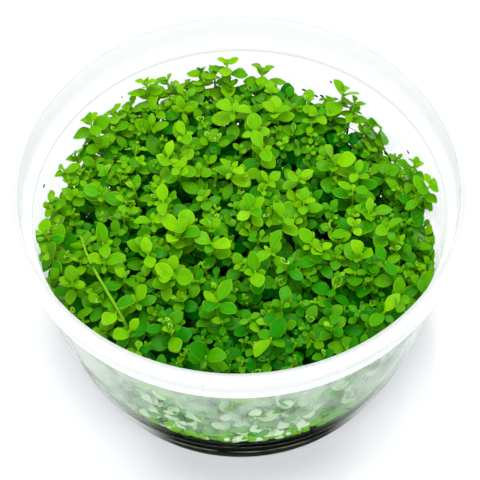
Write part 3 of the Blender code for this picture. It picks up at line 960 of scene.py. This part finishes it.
for degrees, tall in EDGE_TIPS:
    turn = radians(degrees)
    out = np.array((cos(turn), sin(turn)))
    tip_plan = out * (wall_radius(tall * MM) - WALL - EDGE_INSET)
    root = rooted(tip_plan * EDGE_ROOT_SHARE)
    lean_angle = dice.uniform(*EDGE_LEANS)
    lean = np.array((*(out * sin(lean_angle)), cos(lean_angle)))
    tip = np.array((*tip_plan, tall * MM - EDGE_TIP_DROP))
    line = press_to_wall(stem_line(root, tip, lean, np.zeros(3)))
    distances = NODE_DISTANCES * dice.uniform(*EDGE_SPACINGS)
    size = dice.uniform(*EDGE_SIZES)
    rows = leafy_rows(dice, line, distances, NODE_LENGTHS, NODE_LIFTS, NODE_CUPS, size, TO_LIGHT)
    shoots[owner_of(tip_plan)].append((line, rows))

# Other shoots climb the inside of the wall, with their leaves pressed flat against it.
WALL_SHOOT_COUNT = 116
EVEN_SHUFFLE = 0.4
WALL_SLANT = 0.07
WALL_SHOOT_INSET = 0.9 * MM
WALL_SHOOT_HEIGHTS = (20.0 * MM, 38.0 * MM)
WALL_NODES = 10
WALL_NODE_SPACING = 3.2 * MM
WALL_SPACINGS = (0.85, 1.2)
FIRST_NODE = 0.4 * MM
WALL_LEAF_LENGTH = 4.2 * MM
WALL_LEAF_LIFT = 0.3
WALL_LEAF_CUP = 0.05
WALL_SIZES = (0.75, 1.1)
WALL_FACING = 1.1
WALL_FACING_DOWN = 0.15

for number in range(WALL_SHOOT_COUNT):
    turn = (number + dice.uniform(-EVEN_SHUFFLE, EVEN_SHUFFLE)) * 2 * pi / WALL_SHOOT_COUNT
    slant = turn + dice.normal(0, WALL_SLANT)
    out = np.array((cos(turn), sin(turn)))
    high = min(dice.uniform(*WALL_SHOOT_HEIGHTS), edge_over(out * (room_at_top - EDGE_INSET)))
    heights = np.linspace(GEL_HEIGHT - ROOT_DEPTH, high, STEM_STEPS)
    turns = np.linspace(turn, slant, STEM_STEPS)
    radii = wall_radius(heights) - WALL - PLANT_CLEARANCE - WALL_SHOOT_INSET
    line = np.stack([radii * np.cos(turns), radii * np.sin(turns), heights], axis=1)
    distances = np.arange(WALL_NODES) * WALL_NODE_SPACING * dice.uniform(*WALL_SPACINGS) + FIRST_NODE
    lengths = np.full(WALL_NODES, WALL_LEAF_LENGTH)
    lifts, cups = np.full(WALL_NODES, WALL_LEAF_LIFT), np.full(WALL_NODES, WALL_LEAF_CUP)
    facing = np.array((*out, -WALL_FACING_DOWN)) * WALL_FACING
    rows = leafy_rows(dice, line, distances, lengths, lifts, cups, dice.uniform(*WALL_SIZES), facing)
    shoots[owner_of(line[-1, :2])].append((line, rows))

# Runners creep over the gel, round the foot of the wall.
RUNNER_COUNT = 44
RUNNER_HEIGHTS = (0.9 * MM, 4.5 * MM)
RUNNER_ARC = 0.42
RUNNER_INSETS = (0.3, 1.8)
RUNNER_NODES = 8
RUNNER_NODE_SPACING = 2.6 * MM
RUNNER_LEAF_LENGTH = 4.4 * MM
RUNNER_LEAF_LIFT = 0.2
RUNNER_SIZES = (0.7, 1.1)
RUNNER_FACING = 1.4
RUNNER_FACING_UP = 0.5

for number in range(RUNNER_COUNT):
    turn = (number + dice.uniform(-EVEN_SHUFFLE, EVEN_SHUFFLE)) * 2 * pi / RUNNER_COUNT
    turns = turn + np.linspace(0, RUNNER_ARC, STEM_STEPS) * dice.choice((-1, 1))
    heights = np.linspace(RUNNER_HEIGHTS[0], dice.uniform(*RUNNER_HEIGHTS), STEM_STEPS) + GEL_EDGE_HEIGHT
    radii = wall_radius(heights) - WALL - PLANT_CLEARANCE - dice.uniform(*RUNNER_INSETS) * MM
    line = np.stack([radii * np.cos(turns), radii * np.sin(turns), heights], axis=1)
    distances = np.arange(RUNNER_NODES) * RUNNER_NODE_SPACING * dice.uniform(*WALL_SPACINGS) + FIRST_NODE
    lengths = np.full(RUNNER_NODES, RUNNER_LEAF_LENGTH)
    lifts, cups = np.full(RUNNER_NODES, RUNNER_LEAF_LIFT), np.full(RUNNER_NODES, WALL_LEAF_CUP)
    facing = np.array((cos(turn), sin(turn), RUNNER_FACING_UP)) * RUNNER_FACING
    rows = leafy_rows(dice, line, distances, lengths, lifts, cups, dice.uniform(*RUNNER_SIZES), facing)
    shoots[owner_of(line[-1, :2])].append((line, rows))

# The meshes, one for each plantlet. Each point carries its place on its leaf and the leaf's look: how fresh
# it is, with painted light that makes leaves lighter towards the back and the left; how much daylight
# reaches it, as painted shade; how much painted light from through the wall pales it; and how curled it is.
ON_STEM_PLACE = (0.5, 0.5, 1.0)
STEM_SHADE_DEPTH = 9.0 * MM
LEAF_SHADE_DEPTH = 8.0 * MM
LEAF_SHADE_START = 1.1
FRESHNESS = (0.34, 0.3)
TIP_FRESHNESS = 0.3
BACK_PAINTED_LIGHT = 0.34
LEFT_PAINTED_LIGHT = 0.16
FRONT_SHADE = 0.9
WALL_ZONE = 6.0 * MM
WALL_DAYLIGHT = 0.8
LOW_WALL_LEAVES = 18.0 * MM
LOW_WALL_FRESHNESS = 0.85
PALE_SHARE = 0.58
PALE_HEIGHTS = (14.0 * MM, 22.0 * MM, 30.0 * MM, 34.5 * MM)
PALE_SHARES = (0.5, 0.55, 1.0, 0.0)
PALENESS = (0.5, 1.0)
FRONT_WALL_LIT = 0.6
WALL_LIT_START = 0.64
WALL_LIT_GAIN = 5
BUD_LONGEST = 2.2 * MM
BUD_LEAST_CUP = 0.5
BUD_GAIN = 5

for index, node in enumerate(nodes):
    vertices, faces, places, looks, paleness, buds = [], [], [], [], [], []
    start = 0
    for line, rows in shoots[index]:
        tube, tube_faces = stem_tube(line)
        vertices.append(tube)
        faces.append(tube_faces + start)
        places.append(np.tile(ON_STEM_PLACE, (len(tube), 1)))
        # Painted shade: stems darken with depth under their crown.
        daylight = np.clip(1.0 - (crowns[index] - tube[:, 2]) / STEM_SHADE_DEPTH, 0.0, 1.0)
        looks.append(np.stack([np.full(len(tube), 0.5), daylight, np.ones(len(tube))], axis=1))
        paleness.append(np.zeros(len(tube)))
        buds.append(np.zeros(len(tube)))
        start += len(tube)
    rows = np.array([row for line, rows in shoots[index] for row in rows])
    base, axis, normal = rows[:, 0:3], rows[:, 3:6], rows[:, 6:9]
    length, width, cup, curl, wave, widest, level = rows[:, 9:].T
    leaves = shape_leaves(base, axis, normal, length, width, cup, curl, wave, widest)
    vertices.append(press_to_wall(leaves).reshape(-1, 3))
    offsets = start + np.arange(len(rows)) * len(leaf_along)
    faces.append((leaf_faces[None] + offsets[:, None, None]).reshape(-1, 3))
    spot_on_leaf = np.stack([np.abs(leaf_across), leaf_along, leaf_side], axis=1)
    places.append(np.tile(spot_on_leaf, (len(rows), 1)))

    at_wall = np.hypot(base[:, 0], base[:, 1]) > wall_radius(base[:, 2]) - WALL_ZONE
    in_front = np.clip(-base[:, 1] / room_at_top, 0, 1)
    freshness_and_light = dice.normal(*FRESHNESS, len(rows)) + TIP_FRESHNESS * (level < TIP_PAIRS)
    # Painted light: leaves are made fresher and lighter green towards the back and the left.
    freshness_and_light += (BACK_PAINTED_LIGHT * base[:, 1] - LEFT_PAINTED_LIGHT * base[:, 0]) / room_at_top
    freshness_and_light = np.clip(freshness_and_light, 0, 1)
    # Painted shade: leaves deeper under their crown, and duller leaves in front, get less daylight; leaves
    # at the wall keep most of it.
    daylight = np.clip(LEAF_SHADE_START - (crowns[index] - base[:, 2]) / LEAF_SHADE_DEPTH, 0.0, 1.0)
    daylight *= 1 - FRONT_SHADE * in_front * (1 - freshness_and_light)
    daylight = np.maximum(daylight, at_wall * WALL_DAYLIGHT)
    low_at_wall = at_wall & (base[:, 2] < LOW_WALL_LEAVES)
    freshness_and_light = np.where(low_at_wall, np.maximum(freshness_and_light, LOW_WALL_FRESHNESS), freshness_and_light)
    leaf_looks = np.stack([freshness_and_light, daylight, np.zeros(len(rows))], axis=1)
    looks.append(np.repeat(leaf_looks, len(leaf_along), axis=0))

    # Painted light: some leaves at the wall are paled on the side facing the wall, and all over in front,
    # for light coming through the wall.
    pale_here = PALE_SHARE * np.interp(base[:, 2], PALE_HEIGHTS, PALE_SHARES)
    pale = at_wall & (dice.random(len(rows)) < pale_here)
    pale = pale * dice.uniform(*PALENESS, len(rows))
    outward = np.sum(normal[:, :2] * unit(base[:, :2]), axis=1)
    wall_lit_side = np.clip((outward[:, None] * leaf_side - WALL_LIT_START) * WALL_LIT_GAIN, 0, 1)
    wall_lit_side = np.where(in_front[:, None] > FRONT_WALL_LIT, 1.0, wall_lit_side)
    paleness.append((pale[:, None] * wall_lit_side).ravel())
    curled = np.clip((cup - BUD_LEAST_CUP) * BUD_GAIN, 0, 1) * (length < BUD_LONGEST)
    buds.append(np.repeat(curled, len(leaf_along)))

    mesh = bpy.data.meshes.new(f"tuft_{index + 1:02d}")
    mesh.from_pydata(np.concatenate(vertices).tolist(), [], np.concatenate(faces).tolist())
    for title, values in (("leaf_place", places), ("leaf_look", looks)):
        attribute = mesh.attributes.new(title, "FLOAT_VECTOR", "POINT")
        attribute.data.foreach_set("vector", np.concatenate(values).astype(np.float32).ravel())
    for title, values in (("leaf_wall_light", paleness), ("leaf_bud", buds)):
        attribute = mesh.attributes.new(title, "FLOAT", "POINT")
        attribute.data.foreach_set("value", np.concatenate(values).astype(np.float32))
    mesh.shade_smooth()
    mesh.materials.append(leaf_finish)
    tuft = bpy.data.objects.new(mesh.name, mesh)
    bpy.context.scene.collection.objects.link(tuft)
    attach(tuft, "root")
    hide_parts(node)


# Crumbs
# A few dark crumbs of the gel and dead root ends cling to the tub's inner wall above the plants,
# where handling threw them.
CRUMBS = (
    (287, 91, 0.42), (284, 84, 0.26), (304, 90, 0.34), (316, 96, 0.32), (322, 96, 0.32), (331, 82, 0.26),
    (44, 186, 0.34), (59, 165, 0.16), (122, 97, 0.18), (408, 152, 0.30), (433, 236, 0.24), (432, 250, 0.40),
)
CRUMB_STRETCH = 1.7
CRUMB_FLATNESS = 0.4
CRUMB_TURN = 9
CRUMB_PLACE_ERROR = 0.01 * MM
CRUMB_BROWN = (0.035, 0.030, 0.022)
CRUMB_DARK = (0.010, 0.010, 0.008)
CRUMB_CLOUDS = 1800.0
CRUMB_ROUGHNESS = (2500.0, 0.4, 0.7)
CRUMB_GRAIN = (3000.0, 0.1 * MM, 0.8)

crumbs = []
for right, down, size in CRUMBS:
    low, high = GEL_EDGE_HEIGHT, LIP_HEIGHT
    while high - low > CRUMB_PLACE_ERROR:
        middle = (low + high) / 2
        spot = seen_at(right, down, middle)
        room = wall_radius(min(middle, LEDGE_HEIGHT)) - WALL - size * MM * CRUMB_FLATNESS
        if np.linalg.norm(spot[:2]) > room:
            low = middle
        else:
            high = middle
    turn = np.arctan2(spot[1], spot[0])
    bpy.ops.object.select_all(action="DESELECT")
    bpy.ops.mesh.primitive_ico_sphere_add(subdivisions=2, radius=size * MM)
    crumb = bpy.context.active_object
    bpy.ops.transform.resize(value=(CRUMB_FLATNESS, CRUMB_STRETCH, 1.0), center_override=(0, 0, 0))
    bpy.ops.transform.rotate(value=size * CRUMB_TURN, orient_axis="X", center_override=(0, 0, 0))
    bpy.ops.transform.rotate(value=-turn, orient_axis="Z", center_override=(0, 0, 0))
    bpy.ops.transform.translate(value=tuple(spot))
    bpy.ops.object.transform_apply(location=True, rotation=True, scale=True)
    crumbs.append(crumb)
bpy.ops.object.select_all(action="DESELECT")
for crumb in crumbs:
    crumb.select_set(True)
bpy.context.view_layer.objects.active = crumbs[0]
bpy.ops.object.join()
crumbs = bpy.context.active_object
crumbs.name = "crumbs_on_wall"
bpy.ops.object.shade_smooth()

crumb_finish, tree, shader = new_finish("dark_crumb")
place = object_place(tree)
clouds = noise(tree, place, CRUMB_CLOUDS)
tree.links.new(tint(tree, clouds, CRUMB_DARK, CRUMB_BROWN), shader.inputs["Base Color"])
roughen(tree, shader, place, *CRUMB_ROUGHNESS)
relief(tree, shader, place, *CRUMB_GRAIN)
crumbs.data.materials.append(crumb_finish)
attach(crumbs, "root")
